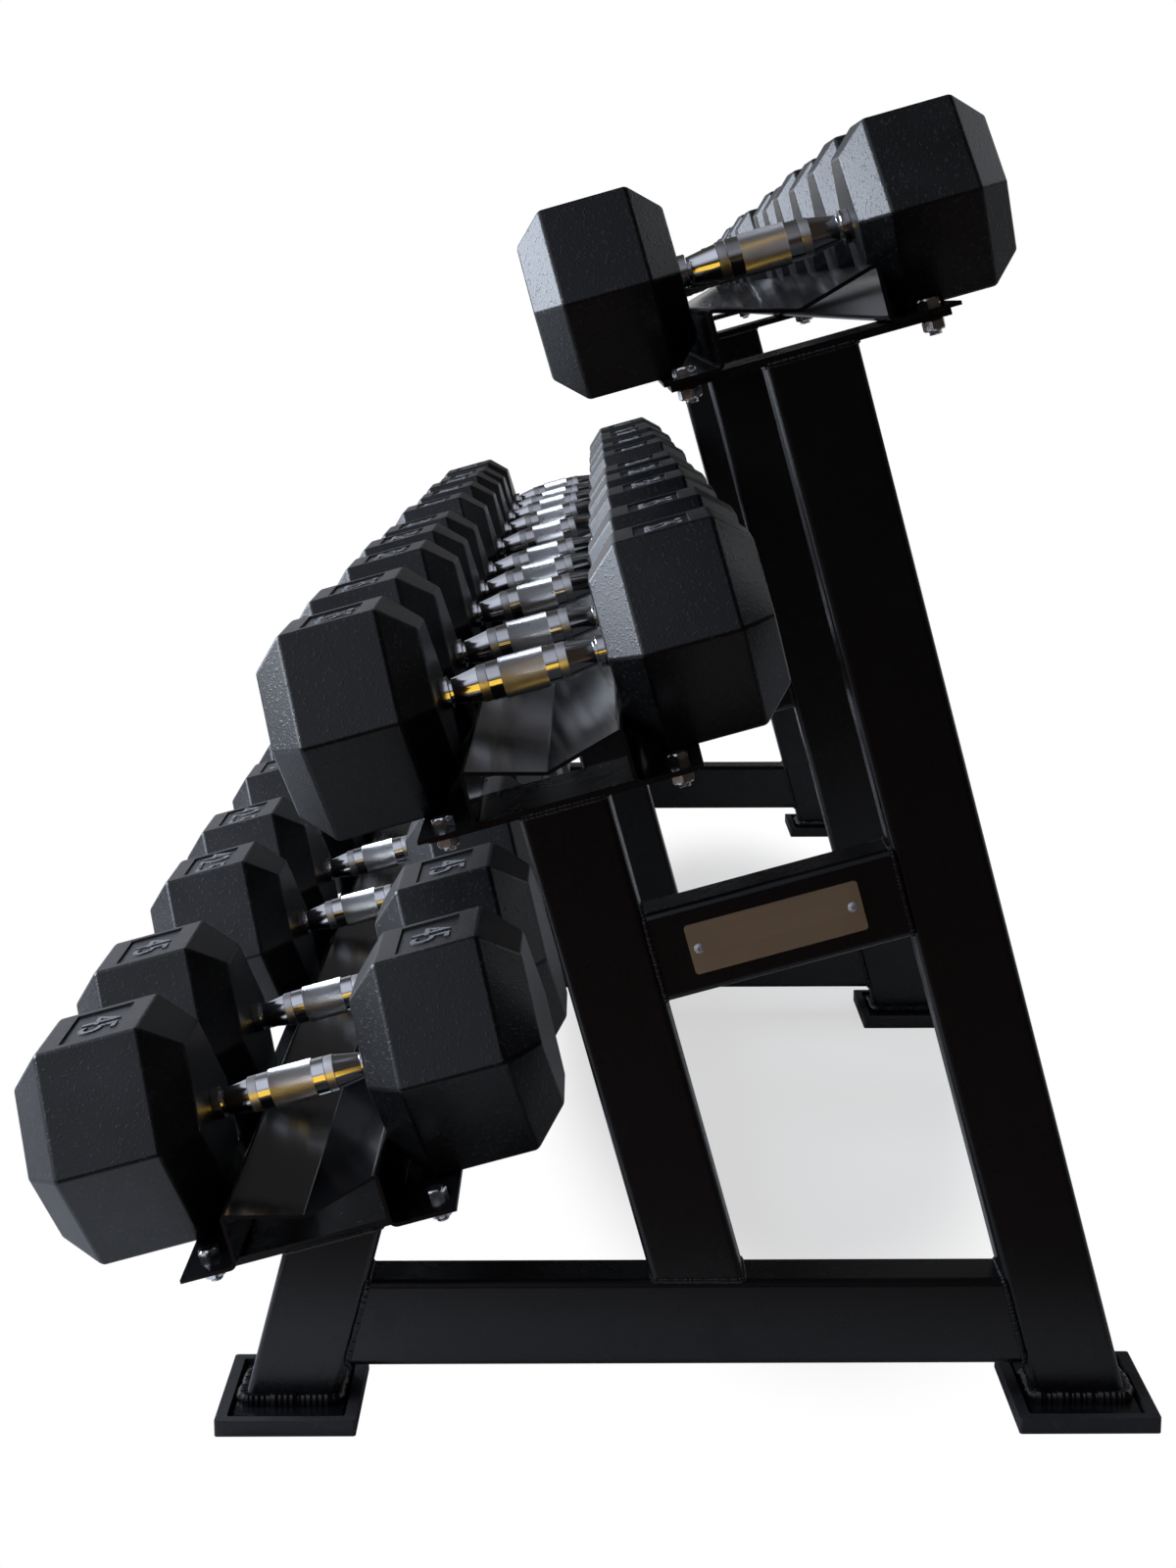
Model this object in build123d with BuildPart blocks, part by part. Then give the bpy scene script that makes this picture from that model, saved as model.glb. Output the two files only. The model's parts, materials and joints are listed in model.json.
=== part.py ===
import os
from math import cos, radians, sin, sqrt, tan

from build123d import *

# Frame tubes: rectangular hollow steel, wide face towards the rack's ends
TUBE_DEPTH = 70.0
TUBE_WIDTH = 50.0
TUBE_WALL = 3.0
TUBE_CORNER = 2 * TUBE_WALL

# Three identical side frames stand along X, one in the middle and one at each end
FRAME_PITCH = 1120.0
UPRIGHT_LEAN = 15.3
FRONT_POST_LEAN = 15.0
BASE_TUBE_UNDERSIDE = 40.0
STRUT_DROP = 412.5

# Tier centres, taken on the tops of the saddle plates, stepping up and back
BOTTOM_TIER_HEIGHT = 148.0
MIDDLE_TIER_RISE = 342.5
MIDDLE_TIER_SETBACK = 187.0
TOP_TIER_RISE = 334.6
TOP_TIER_SETBACK = 181.7
FRONT_FOOT_ADVANCE = 28.0

# Saddle plates that close the post tops and carry the trays; at the ends they reach inwards
SADDLE_WIDTH = 110.0
SADDLE_THICKNESS = 6.0
SADDLE_SETBACK = 5.0

# Feet: a steel plate under each post, set in a rubber dish that is longest along X
FOOT_LENGTH = 128.0
FOOT_WIDTH = 109.0
FOOT_HEIGHT = 13.0
FOOT_RIM = 9.0
FOOT_FLOOR = 4.0
FOOT_CORNER = 2.5
FOOT_PLATE_THICKNESS = 6.0
FOOT_PLATE_CLEARANCE = 3.0

# Trays: folded sheet, a raised crown with a shallow valley, set a little ahead of the tier's middle
SHEET = 3.0
TRAY_WIDTH = 220.0
CROWN_WIDTH = 126.5
CROWN_ADVANCE = 3.25
CROWN_HEIGHT = 45.5
BEND_INSIDE = 1.0
TRAY_OVERHANG = 26.0
TRAY_SEAM_GAP = 1.0

# Tray fasteners
BOLT_DIAMETER = 10.0
BOLT_HEAD_FLATS = 16.0
BOLT_HEAD_HEIGHT = 6.4
NUT_HEIGHT = 8.4
BOLT_TAIL = 3.0
BOLT_EDGE = 18.0
END_BOLT_INSET = 15.0
SEAM_BOLT_OFFSET = 14.0
BOLT_HOLE_CLEARANCE = 0.5
THREAD_CLEARANCE = 0.1

# Badge plate on the strut of the right-hand frame
BADGE_LENGTH = 135.0
BADGE_HEIGHT = 39.0
BADGE_THICKNESS = 1.5
BADGE_CORNER = 3.0
BADGE_SCREW_EDGE = 7.5
BADGE_ADVANCE = 2.0
SCREW_DIAMETER = 4.0
SCREW_LENGTH = 8.0
SCREW_HEAD_DIAMETER = 8.0
SCREW_HEAD_HEIGHT = 2.6
SCREW_HOLE_CLEARANCE = 0.25

# Dumbbell heads: every head size follows from the weight in kilograms
FLATS_PER_CUBE_ROOT_KG = 51.0
HEAD_LENGTH_RATIO = 0.785
CHAMFER_LENGTH_RATIO = 0.16
CHAMFER_DEPTH_RATIO = 0.15
LABEL_LENGTH_RATIO = 0.58
LABEL_WIDTH_RATIO = 0.80
LABEL_DEPTH = 2.0

# Dumbbell handles: one turned bar for every weight
GRIP_LENGTH = 135.0
COLLAR_LENGTH = 7.4
COLLAR_RADIUS = 13.0
NECK_LENGTH = 2.5
NECK_RADIUS = 9.0
TAPER_LENGTH = 21.6
TAPER_THIN_RADIUS = 10.5
TAPER_THICK_RADIUS = 14.2
RING_LENGTH = 7.4
RING_RADIUS = 15.0
SHOULDER_LENGTH = 10.8
SHOULDER_RADIUS = 15.3
KNURL_RADIUS = 16.5
SPIGOT_LENGTH = 12.0
SPIGOT_RADIUS = 10.0
SPIGOT_CLEARANCE = 0.1
REST_GAP = 0.5

# Dumbbells on each tier: weight steps, and the free lengths between them from the right-hand end.
# Each tier has a right and a left bay between its bolts, and the gaps stretch alike to fill a bay.
WEIGHT_STEP = 2.5
HEAVIEST = 45.0
BOLT_KEEP_OFF = 4.0
BOTTOM_GAPS = ((29.4, 43.5, 162.5, 45.5, 82.4), (107.4, 43.6, 145.7, 47.9, 47.5))
MIDDLE_GAPS = ((31.6, 34.4, 119.7, 7.1, 36.5, 10.0), (142.0, 94.6, 22.2, 15.0, 9.8, 11.7))
TOP_GAPS = ((35.2, 49.7, 51.9, 43.1, 23.6, 3.1, 4.5), (256.5, 9.8, 34.0, 3.3, 3.2, 10.1, 23.0))

# Directions in the side view: UP_TIER runs back along a tier, OFF_TIER leaves it at right angles
SIN_LEAN = sin(radians(UPRIGHT_LEAN))
COS_LEAN = cos(radians(UPRIGHT_LEAN))
UP_TIER = (0, COS_LEAN, SIN_LEAN)
OFF_TIER = (0, -SIN_LEAN, COS_LEAN)
FOOT_TOP = FOOT_FLOOR + FOOT_PLATE_THICKNESS
BASE_TUBE_TOP = BASE_TUBE_UNDERSIDE + TUBE_DEPTH
FOOT_POCKET = (FOOT_LENGTH - 2 * FOOT_RIM, FOOT_WIDTH - 2 * FOOT_RIM)
FOOT_PLATE = [side - 2 * FOOT_PLATE_CLEARANCE for side in FOOT_POCKET]
SADDLE_LENGTH = TRAY_WIDTH - 2 * SADDLE_SETBACK
BOLT_OFFSET = TRAY_WIDTH / 2 - BOLT_EDGE
FRAME_OUTER_FACE = FRAME_PITCH + TUBE_WIDTH / 2
END_BOLT_X = FRAME_OUTER_FACE - END_BOLT_INSET


def head_flats(weight):
    return FLATS_PER_CUBE_ROOT_KG * weight ** (1 / 3)


# Handle centre, ahead of the tier's middle: the rear head leans on the crown's rear wall
CROWN_REAR = CROWN_WIDTH / 2 - CROWN_ADVANCE
HANDLE_SHIFT = CROWN_REAR + REST_GAP - GRIP_LENGTH / 2

# Depth of the whole: front ends of the heaviest heads to the back of the rear feet
heavy = head_flats(HEAVIEST)
heavy_end = HANDLE_SHIFT - GRIP_LENGTH / 2 - HEAD_LENGTH_RATIO * heavy
heavy_end_top = SHEET + heavy * (1 - CHAMFER_DEPTH_RATIO)
front_reach = heavy_end * COS_LEAN - heavy_end_top * SIN_LEAN
top_height = BOTTOM_TIER_HEIGHT + MIDDLE_TIER_RISE + TOP_TIER_RISE
top_setback = MIDDLE_TIER_SETBACK + TOP_TIER_SETBACK
rear_foot_setback = top_setback + (top_height - FOOT_TOP) * SIN_LEAN / COS_LEAN
rear_reach = rear_foot_setback + FOOT_WIDTH / 2

# Tier centres and foot centres, with Y measured from the middle of that depth
bottom_y = -(front_reach + rear_reach) / 2
BOTTOM_TIER = (bottom_y, BOTTOM_TIER_HEIGHT)
MIDDLE_TIER = (bottom_y + MIDDLE_TIER_SETBACK, BOTTOM_TIER_HEIGHT + MIDDLE_TIER_RISE)
TOP_TIER = (bottom_y + top_setback, top_height)
FRONT_FOOT_Y = bottom_y - FRONT_FOOT_ADVANCE
REAR_FOOT_Y = bottom_y + rear_foot_setback
FRAMES = {"right": FRAME_PITCH, "centre": 0.0, "left": -FRAME_PITCH}
TIERS = {"bottom": BOTTOM_TIER, "middle": MIDDLE_TIER, "top": TOP_TIER}


def on_tier(tier, x, along, off):
    y = tier[0] + along * COS_LEAN - off * SIN_LEAN
    z = tier[1] + along * SIN_LEAN + off * COS_LEAN
    return (x, y, z)


def tier_plane(tier, off):
    return Plane(origin=on_tier(tier, 0, 0, off), x_dir=(1, 0, 0), z_dir=OFF_TIER)


def end_plane(tier, x, along, off):
    return Plane(origin=on_tier(tier, x, along, off), x_dir=UP_TIER, z_dir=(1, 0, 0))


def save(piece, name):
    piece.label = name
    export_step(piece, "parts/" + name + ".step")


def tube(start, direction, length, cuts):
    with BuildPart() as bar:
        with BuildSketch(Plane(origin=start, x_dir=(1, 0, 0), z_dir=direction)):
            RectangleRounded(TUBE_WIDTH, TUBE_DEPTH, TUBE_CORNER)
            inner_width = TUBE_WIDTH - 2 * TUBE_WALL
            inner_depth = TUBE_DEPTH - 2 * TUBE_WALL
            RectangleRounded(inner_width, inner_depth, TUBE_CORNER - TUBE_WALL, mode=Mode.SUBTRACT)
        extrude(amount=length)
        for cut in cuts:
            split(bisect_by=cut, keep=Keep.BOTTOM)
    return bar.part


os.makedirs("parts", exist_ok=True)

# Slanted faces that the frame tubes meet
FRONT_LEAN_SIN = sin(radians(FRONT_POST_LEAN))
FRONT_LEAN_COS = cos(radians(FRONT_POST_LEAN))
FRONT_POST_WAY = (0, FRONT_LEAN_SIN, FRONT_LEAN_COS)
front_post_back = FRONT_FOOT_Y + TUBE_DEPTH / 2 / FRONT_LEAN_COS
rear_post_front = REAR_FOOT_Y - TUBE_DEPTH / 2 / COS_LEAN
FLOOR_CUT = Plane(origin=(0, 0, FOOT_TOP), z_dir=(0, 0, -1))
BASE_TOP_CUT = Plane(origin=(0, 0, BASE_TUBE_TOP), z_dir=(0, 0, -1))
FRONT_SADDLE_CUT = tier_plane(BOTTOM_TIER, -SADDLE_THICKNESS)
FRONT_BUTT = Plane(origin=(0, front_post_back, FOOT_TOP), z_dir=(0, -FRONT_LEAN_COS, FRONT_LEAN_SIN))
REAR_BUTT = Plane(origin=(0, rear_post_front, FOOT_TOP), z_dir=UP_TIER)


# Base tubes: level, butted and welded between the front post and the rear post
def base_tube(x):
    base_middle = (BASE_TUBE_UNDERSIDE + BASE_TUBE_TOP) / 2
    run = REAR_FOOT_Y - FRONT_FOOT_Y
    return tube((x, FRONT_FOOT_Y, base_middle), (0, 1, 0), run, (FRONT_BUTT, REAR_BUTT))


# Front posts: lean back from the front foot to the bottom saddle plate
def front_post(x):
    run = BOTTOM_TIER_HEIGHT + TUBE_DEPTH * 2
    start_y = FRONT_FOOT_Y - TUBE_DEPTH * FRONT_LEAN_SIN
    start_z = FOOT_TOP - TUBE_DEPTH * FRONT_LEAN_COS
    return tube((x, start_y, start_z), FRONT_POST_WAY, run, (FLOOR_CUT, FRONT_SADDLE_CUT))


# Middle uprights and rear posts: lean forward, square to the saddle plate they carry
def leaning_post(x, tier, foot_cut):
    into_floor = (0, SIN_LEAN, -COS_LEAN)
    run = tier[1] / COS_LEAN + TUBE_DEPTH
    return tube(on_tier(tier, x, 0, -SADDLE_THICKNESS), into_floor, run, (foot_cut,))


# Struts: short tubes square between the middle upright and the rear post
height_gap = TOP_TIER[1] - MIDDLE_TIER[1]
depth_gap = TOP_TIER[0] - MIDDLE_TIER[0]
STRUT_LENGTH = depth_gap * COS_LEAN + height_gap * SIN_LEAN - TUBE_DEPTH
STRUT_FRONT = -TUBE_DEPTH / 2 - STRUT_LENGTH
BADGE_ALONG = STRUT_FRONT + STRUT_LENGTH / 2 - BADGE_ADVANCE
BADGE_PLANE = end_plane(TOP_TIER, FRAME_OUTER_FACE, BADGE_ALONG, -STRUT_DROP)
BADGE_SCREW_SPOT = BADGE_LENGTH / 2 - BADGE_SCREW_EDGE


def strut(x):
    return tube(on_tier(TOP_TIER, x, STRUT_FRONT, -STRUT_DROP), UP_TIER, STRUT_LENGTH, ())


def badge_strut(x):
    with BuildPart() as bar:
        add(strut(x))
        with BuildSketch(BADGE_PLANE):
            with Locations((BADGE_SCREW_SPOT, 0), (-BADGE_SCREW_SPOT, 0)):
                Circle(SCREW_DIAMETER / 2 + SCREW_HOLE_CLEARANCE)
        extrude(amount=-TUBE_WALL, mode=Mode.SUBTRACT)
    return bar.part


for side, x in FRAMES.items():
    save(base_tube(x), side + "_base_tube")
    save(front_post(x), side + "_front_post")
    save(leaning_post(x, MIDDLE_TIER, BASE_TOP_CUT), side + "_middle_upright")
    save(leaning_post(x, TOP_TIER, FLOOR_CUT), side + "_rear_post")
    save(badge_strut(x) if side == "right" else strut(x), side + "_strut")

# Foot plates and rubber feet under the six posts
FOOT_SPOTS = [(x, y) for x in FRAMES.values() for y in (FRONT_FOOT_Y, REAR_FOOT_Y)]

with BuildPart() as foot_plates:
    with BuildSketch(Plane.XY.offset(FOOT_FLOOR)):
        with Locations(*FOOT_SPOTS):
            RectangleRounded(*FOOT_PLATE, FOOT_CORNER)
    extrude(amount=FOOT_PLATE_THICKNESS)
save(foot_plates.part, "foot_plates")

with BuildPart() as rubber_feet:
    with BuildSketch(Plane.XY):
        with Locations(*FOOT_SPOTS):
            RectangleRounded(FOOT_LENGTH, FOOT_WIDTH, FOOT_CORNER)
    extrude(amount=FOOT_HEIGHT)
    with BuildSketch(Plane.XY.offset(FOOT_FLOOR)):
        with Locations(*FOOT_SPOTS):
            RectangleRounded(*FOOT_POCKET, FOOT_CORNER)
    extrude(amount=FOOT_HEIGHT - FOOT_FLOOR, mode=Mode.SUBTRACT)
save(rubber_feet.part, "rubber_feet")

# Bolt places on a tier, seen square to it: two flanges, four rows along X
BOLT_ROWS = (END_BOLT_X, SEAM_BOLT_OFFSET, -SEAM_BOLT_OFFSET, -END_BOLT_X)
BOLT_SPOTS = [(x, along) for x in BOLT_ROWS for along in (BOLT_OFFSET, -BOLT_OFFSET)]
BOLT_HOLE_RADIUS = BOLT_DIAMETER / 2 + BOLT_HOLE_CLEARANCE


# Saddle plates: one flat plate across each post top, drilled near both ends
END_SADDLE_X = FRAME_OUTER_FACE - SADDLE_WIDTH / 2


def saddle_plates(tier):
    with BuildPart() as plates:
        with BuildSketch(tier_plane(tier, 0)):
            with Locations((END_SADDLE_X, 0), (0, 0), (-END_SADDLE_X, 0)):
                Rectangle(SADDLE_WIDTH, SADDLE_LENGTH)
            with Locations(*BOLT_SPOTS):
                Circle(BOLT_HOLE_RADIUS, mode=Mode.SUBTRACT)
        extrude(amount=-SADDLE_THICKNESS)
    return plates.part


# Trays: the top outline of the fold, thickened downwards, run along X from the seam
def tray(tier, way):
    half = TRAY_WIDTH / 2
    crown_front = CROWN_REAR - CROWN_WIDTH
    valley = CROWN_HEIGHT - CROWN_WIDTH / 2 * tan(radians(UPRIGHT_LEAN))
    fold = [(-half, SHEET), (crown_front, SHEET), (crown_front, CROWN_HEIGHT), (-CROWN_ADVANCE, valley)]
    fold += [(CROWN_REAR, CROWN_HEIGHT), (CROWN_REAR, SHEET), (half, SHEET)]
    run = FRAME_OUTER_FACE + TRAY_OVERHANG - TRAY_SEAM_GAP / 2
    with BuildPart() as sheet:
        with BuildSketch(end_plane(tier, way * TRAY_SEAM_GAP / 2, 0, 0)):
            with BuildLine():
                FilletPolyline(*fold, radius=BEND_INSIDE + SHEET)
                offset(amount=SHEET, side=Side.RIGHT)
            make_face()
        extrude(amount=way * run)
        with BuildSketch(tier_plane(tier, 0)):
            with Locations(*BOLT_SPOTS):
                Circle(BOLT_HOLE_RADIUS)
        extrude(amount=SHEET, mode=Mode.SUBTRACT)
    return sheet.part


for level, tier in TIERS.items():
    save(saddle_plates(tier), level + "_saddle_plates")
    save(tray(tier, 1), level + "_tray_right")
    save(tray(tier, -1), level + "_tray_left")

# Tray bolts: hex heads on the flanges, shanks through to below the nuts
GRIP_STACK = SHEET + SADDLE_THICKNESS
with BuildPart() as tray_bolts:
    for tier in TIERS.values():
        with BuildSketch(tier_plane(tier, SHEET)):
            with Locations(*BOLT_SPOTS):
                RegularPolygon(BOLT_HEAD_FLATS / 2, 6, major_radius=False)
        extrude(amount=BOLT_HEAD_HEIGHT)
        with BuildSketch(tier_plane(tier, SHEET)):
            with Locations(*BOLT_SPOTS):
                Circle(BOLT_DIAMETER / 2)
        extrude(amount=-(GRIP_STACK + NUT_HEIGHT + BOLT_TAIL))
save(tray_bolts.part, "tray_bolts")

with BuildPart() as tray_nuts:
    for tier in TIERS.values():
        with BuildSketch(tier_plane(tier, -SADDLE_THICKNESS)):
            with Locations(*BOLT_SPOTS):
                RegularPolygon(BOLT_HEAD_FLATS / 2, 6, major_radius=False)
                Circle(BOLT_DIAMETER / 2 + THREAD_CLEARANCE, mode=Mode.SUBTRACT)
        extrude(amount=-NUT_HEIGHT)
save(tray_nuts.part, "tray_nuts")

# Badge plate: bare, held flat on the right-hand strut by two round-head screws
with BuildPart() as badge_plate:
    with BuildSketch(BADGE_PLANE):
        RectangleRounded(BADGE_LENGTH, BADGE_HEIGHT, BADGE_CORNER)
        with Locations((BADGE_SCREW_SPOT, 0), (-BADGE_SCREW_SPOT, 0)):
            Circle(SCREW_DIAMETER / 2 + SCREW_HOLE_CLEARANCE, mode=Mode.SUBTRACT)
    extrude(amount=BADGE_THICKNESS)
save(badge_plate.part, "badge_plate")

with BuildPart() as badge_screws:
    with BuildSketch(BADGE_PLANE.offset(BADGE_THICKNESS)):
        with Locations((BADGE_SCREW_SPOT, 0), (-BADGE_SCREW_SPOT, 0)):
            Circle(SCREW_HEAD_DIAMETER / 2)
    extrude(amount=SCREW_HEAD_HEIGHT)
    fillet(badge_screws.edges().group_by(Axis.X)[-1], radius=SCREW_HEAD_HEIGHT * 0.7)
    with BuildSketch(BADGE_PLANE.offset(BADGE_THICKNESS)):
        with Locations((BADGE_SCREW_SPOT, 0), (-BADGE_SCREW_SPOT, 0)):
            Circle(SCREW_DIAMETER / 2)
    extrude(amount=-SCREW_LENGTH)
save(badge_screws.part, "badge_screws")


# Dumbbell handle: turned bar with collars, tapers, rings and a knurled middle
def handle(tier, x, axis_height):
    grip_end = GRIP_LENGTH / 2
    spigot_end = grip_end + SPIGOT_LENGTH
    collar_start = grip_end - COLLAR_LENGTH
    taper_end = collar_start - NECK_LENGTH
    ring_end = taper_end - TAPER_LENGTH
    shoulder_end = ring_end - RING_LENGTH
    knurl_end = shoulder_end - SHOULDER_LENGTH
    right = [(knurl_end, KNURL_RADIUS), (knurl_end, SHOULDER_RADIUS), (shoulder_end, SHOULDER_RADIUS)]
    right += [(shoulder_end, RING_RADIUS), (ring_end, RING_RADIUS), (ring_end, TAPER_THICK_RADIUS)]
    right += [(taper_end, TAPER_THIN_RADIUS), (taper_end, NECK_RADIUS), (collar_start, NECK_RADIUS)]
    right += [(collar_start, COLLAR_RADIUS), (grip_end, COLLAR_RADIUS), (grip_end, SPIGOT_RADIUS)]
    right += [(spigot_end, SPIGOT_RADIUS), (spigot_end, 0)]
    left = [(-along, radius) for along, radius in reversed(right)]
    middle = on_tier(tier, x, HANDLE_SHIFT, axis_height)
    with BuildPart() as bar:
        with BuildSketch(Plane(origin=middle, x_dir=UP_TIER, z_dir=(1, 0, 0))):
            with BuildLine():
                Polyline(*left, *right, close=True)
            make_face()
        revolve(axis=Axis(origin=middle, direction=UP_TIER))
    return bar.part


# Dumbbell head: six-sided block, flat side up, bevelled at both ends, label pocket on top
def head(tier, x, flats, axis_height, way):
    length = HEAD_LENGTH_RATIO * flats
    chamfer_length = CHAMFER_LENGTH_RATIO * flats
    full = flats / 2
    small = full - CHAMFER_DEPTH_RATIO * flats
    inner = GRIP_LENGTH / 2
    steps = [(inner, small), (inner + chamfer_length, full)]
    steps += [(inner + length - chamfer_length, full), (inner + length, small)]
    label_length = (length - 2 * chamfer_length) * LABEL_LENGTH_RATIO
    label_width = flats / sqrt(3) * LABEL_WIDTH_RATIO
    with BuildPart() as block:
        for along, apothem in steps:
            place = on_tier(tier, x, HANDLE_SHIFT + way * along, axis_height)
            with BuildSketch(Plane(origin=place, x_dir=(1, 0, 0), z_dir=UP_TIER)):
                RegularPolygon(apothem, 6, major_radius=False)
        loft(ruled=True)
        top = on_tier(tier, x, HANDLE_SHIFT + way * (inner + length / 2), axis_height + full)
        with BuildSketch(Plane(origin=top, x_dir=(1, 0, 0), z_dir=OFF_TIER)):
            Rectangle(label_width, label_length)
        extrude(amount=-LABEL_DEPTH, mode=Mode.SUBTRACT)
        mouth = on_tier(tier, x, HANDLE_SHIFT + way * inner, axis_height)
        with BuildSketch(Plane(origin=mouth, x_dir=(1, 0, 0), z_dir=UP_TIER)):
            Circle(SPIGOT_RADIUS + SPIGOT_CLEARANCE)
        extrude(amount=way * (SPIGOT_LENGTH + SPIGOT_CLEARANCE), mode=Mode.SUBTRACT)
    return block.part


# Dumbbell: two heads on one handle, lying across the tray on its bottom flats
def dumbbell(tier, x, weight):
    flats = head_flats(weight)
    axis_height = SHEET + flats / 2
    return Compound(children=[
        head(tier, x, flats, axis_height, 1),
        head(tier, x, flats, axis_height, -1),
        handle(tier, x, axis_height),
    ])


# Places along one bay: a head meets its neighbour corner to corner, and a bolt with its bottom flat
def bay_places(start, end, gaps, weights):
    corners = [head_flats(weight) / sqrt(3) for weight in weights]
    heads_length = 2 * sum(corners) - (corners[0] + corners[-1]) / 2
    stretch = (start - end - heads_length) / sum(gaps)
    places = [start - gaps[0] * stretch - corners[0] / 2]
    for gap, corner, next_corner in zip(gaps[1:], corners, corners[1:]):
        places.append(places[-1] - corner - gap * stretch - next_corner)
    return places


# Pairs run down in weight from the right-hand end of each tier, and from the bottom tier up
BOLT_REACH = BOLT_HEAD_FLATS / sqrt(3) + BOLT_KEEP_OFF
BAY_OUTER = END_BOLT_X - BOLT_REACH
BAY_INNER = SEAM_BOLT_OFFSET + BOLT_REACH
pair_weight = HEAVIEST
for tier, (right_gaps, left_gaps) in zip(TIERS.values(), (BOTTOM_GAPS, MIDDLE_GAPS, TOP_GAPS)):
    right_count = len(right_gaps) - 1
    count = right_count + len(left_gaps) - 1
    weights = [pair_weight - WEIGHT_STEP * (place // 2) for place in range(count)]
    places = bay_places(BAY_OUTER, BAY_INNER, right_gaps, weights[:right_count])
    places += bay_places(-BAY_INNER, -BAY_OUTER, left_gaps, weights[right_count:])
    for number, (x, weight) in enumerate(zip(places, weights)):
        size_name = "dumbbell_" + f"{weight:04.1f}".replace(".", "_") + "_kg"
        save(dumbbell(tier, x, weight), size_name + ("_left" if number % 2 else "_right"))
    pair_weight = weights[-1] - WEIGHT_STEP
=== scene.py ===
import json
import random
from math import atan2, cos, hypot, pi, radians, sin, sqrt, tan

import bmesh
import bpy
from mathutils import Matrix, Vector


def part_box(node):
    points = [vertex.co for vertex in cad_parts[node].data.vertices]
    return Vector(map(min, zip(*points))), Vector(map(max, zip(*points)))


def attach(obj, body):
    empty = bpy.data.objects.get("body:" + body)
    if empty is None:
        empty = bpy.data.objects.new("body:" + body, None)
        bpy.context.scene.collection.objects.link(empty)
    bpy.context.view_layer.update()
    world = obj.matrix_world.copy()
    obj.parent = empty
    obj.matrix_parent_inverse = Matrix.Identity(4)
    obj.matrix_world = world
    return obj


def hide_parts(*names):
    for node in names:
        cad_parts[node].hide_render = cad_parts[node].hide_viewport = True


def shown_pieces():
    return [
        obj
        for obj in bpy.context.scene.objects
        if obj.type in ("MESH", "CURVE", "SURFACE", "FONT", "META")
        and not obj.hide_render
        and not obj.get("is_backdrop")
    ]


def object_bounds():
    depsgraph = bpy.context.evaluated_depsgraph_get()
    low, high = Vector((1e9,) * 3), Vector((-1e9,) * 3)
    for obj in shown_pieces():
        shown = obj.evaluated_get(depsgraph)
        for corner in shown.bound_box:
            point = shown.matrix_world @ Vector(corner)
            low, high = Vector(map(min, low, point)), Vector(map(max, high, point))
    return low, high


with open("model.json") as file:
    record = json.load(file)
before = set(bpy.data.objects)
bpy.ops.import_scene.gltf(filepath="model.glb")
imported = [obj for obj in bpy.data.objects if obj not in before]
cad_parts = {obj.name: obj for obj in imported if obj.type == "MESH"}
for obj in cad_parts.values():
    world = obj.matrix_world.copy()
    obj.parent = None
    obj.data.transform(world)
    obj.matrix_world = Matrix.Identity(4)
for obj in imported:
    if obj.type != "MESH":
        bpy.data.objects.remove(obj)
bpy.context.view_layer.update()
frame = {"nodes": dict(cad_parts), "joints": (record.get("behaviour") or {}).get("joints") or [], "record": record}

# Frame tubes: three side frames, each of five lengths of 70 x 50 mm rectangular steel tube.
# The tubes are cut to their slants, welded up, and powder coated satin black with a fine grain.
SIDES = ("right", "centre", "left")
TUBE_NAMES = ("base_tube", "front_post", "middle_upright", "rear_post", "strut")
TUBE_EDGE = 0.0004
COAT_DARK = (0.0040, 0.0042, 0.0050, 1)
COAT_LIGHT = (0.0070, 0.0073, 0.0085, 1)
SHARP_EDGE = radians(35)
FLAT_EDGE = radians(0.5)
ROUNDED_EDGE = radians(40)
MERGE_DISTANCE = 1e-6
PEEL_SCALE = 520.0
PATCH_SCALE = 7.0
RUB_SCALE = 38.0


class Socket:
    """A socket in a finish. Arithmetic on it adds Math nodes, and node() adds any other node."""

    def __init__(self, tree, socket=None):
        self.tree = tree
        self.socket = socket

    def node(self, kind, settings, inputs, output=0):
        made = self.tree.nodes.new(kind)
        for name, value in settings.items():
            setattr(made, name, value)
        for name, value in inputs.items():
            if isinstance(value, Socket):
                self.tree.links.new(value.socket, made.inputs[name])
            else:
                made.inputs[name].default_value = value
        return Socket(self.tree, made.outputs[output])

    def maths(self, operation, first, second):
        return self.node("ShaderNodeMath", {"operation": operation}, {0: first, 1: second})

    def __add__(self, other):
        return self.maths("ADD", self, other)

    def __radd__(self, other):
        return self.maths("ADD", other, self)

    def __sub__(self, other):
        return self.maths("SUBTRACT", self, other)

    def __rsub__(self, other):
        return self.maths("SUBTRACT", other, self)

    def __mul__(self, other):
        return self.maths("MULTIPLY", self, other)

    def __rmul__(self, other):
        return self.maths("MULTIPLY", other, self)

    def noise(self, scale, detail):
        settings = {"noise_dimensions": "3D"}
        return self.node("ShaderNodeTexNoise", settings, {"Vector": self, "Scale": scale, "Detail": detail})

    def between(self, low, high):
        """0 where this socket is at low, 1 where it is at high, and clamped."""
        inputs = {"Value": self, "From Min": low, "From Max": high}
        return self.node("ShaderNodeMapRange", {"interpolation_type": "SMOOTHSTEP"}, inputs)

    def tint(self, low, high):
        """The colour that goes from low to high as this socket goes from 0 to 1."""
        return self.node("ShaderNodeMix", {"data_type": "RGBA"}, {0: self, 6: low, 7: high}, 2)

    def relief(self, height):
        """The surface normal, with this socket raised by height at 1."""
        return self.node("ShaderNodeBump", {}, {"Height": self, "Distance": height})

    def feed(self, name):
        self.tree.links.new(self.socket, self.tree.nodes["Principled BSDF"].inputs[name])


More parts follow.
